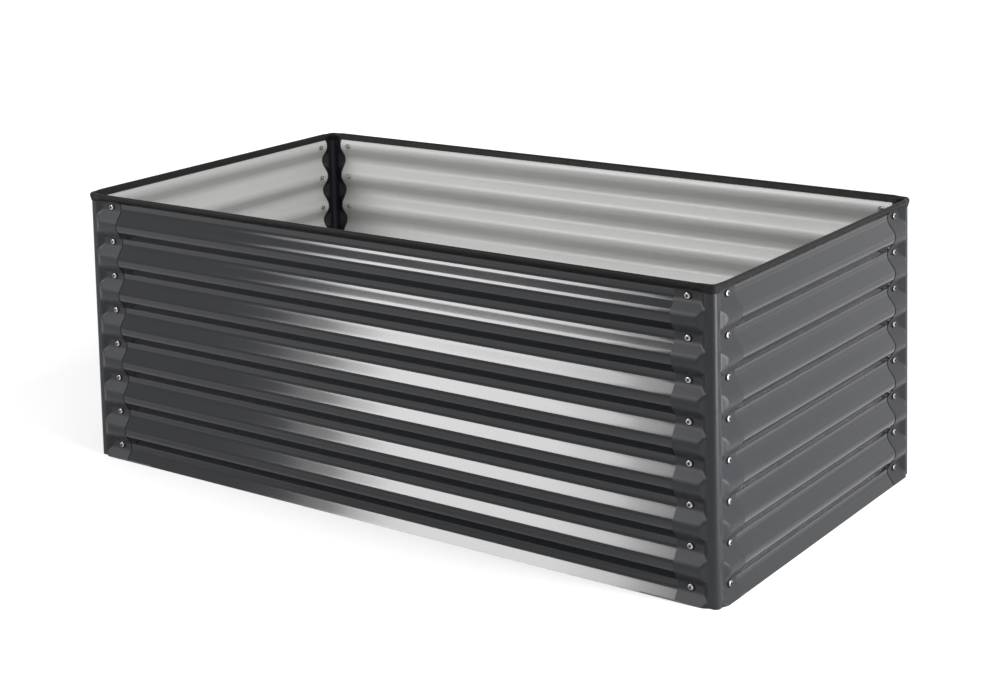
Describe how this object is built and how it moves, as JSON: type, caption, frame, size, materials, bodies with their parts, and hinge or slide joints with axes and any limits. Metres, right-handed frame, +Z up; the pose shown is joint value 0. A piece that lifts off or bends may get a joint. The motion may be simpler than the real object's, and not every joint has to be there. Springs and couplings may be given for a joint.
{
  "type": "raised garden bed",
  "caption": "Tall rectangular raised garden bed of corrugated steel panels, with fluted corner posts and a rubber edge trim round the open top.",
  "frame": {"origin": "on the ground at the middle of the bed", "axes": "+Z up, +X along the longest side, with the front wall facing -Y"},
  "size_m": [1.572, 0.838, 0.5897],
  "materials": {
    "panel_steel": "satin dark grey paint outside, pale grey primer inside, on corrugated zinc-coated steel sheet",
    "post_steel": "satin dark grey paint outside, pale grey primer inside, on pressed zinc-coated steel sheet",
    "edge_rubber": "matt black extruded rubber with a faint sheen along its crown",
    "screw_steel": "zinc-plated, bright on the rim of the head",
    "nut_steel": "zinc-plated, slightly dull"
  },
  "bodies": {
    "root": {"front_panel": "panel_steel", "right_panel": "panel_steel", "back_panel": "panel_steel", "left_panel": "panel_steel", "corner_post_front_right": "post_steel", "corner_post_back_right": "post_steel", "corner_post_back_left": "post_steel", "corner_post_front_left": "post_steel", "edge_trim": "edge_rubber", "screws_front_by_left": "screw_steel", "screws_front_by_right": "screw_steel", "screws_right_by_front": "screw_steel", "screws_right_by_back": "screw_steel", "screws_back_by_right": "screw_steel", "screws_back_by_left": "screw_steel", "screws_left_by_back": "screw_steel", "screws_left_by_front": "screw_steel", "nuts_front_by_left": "nut_steel", "nuts_front_by_right": "nut_steel", "nuts_right_by_front": "nut_steel", "nuts_right_by_back": "nut_steel", "nuts_back_by_right": "nut_steel", "nuts_back_by_left": "nut_steel", "nuts_left_by_back": "nut_steel", "nuts_left_by_front": "nut_steel"}
  },
  "joints": []
}
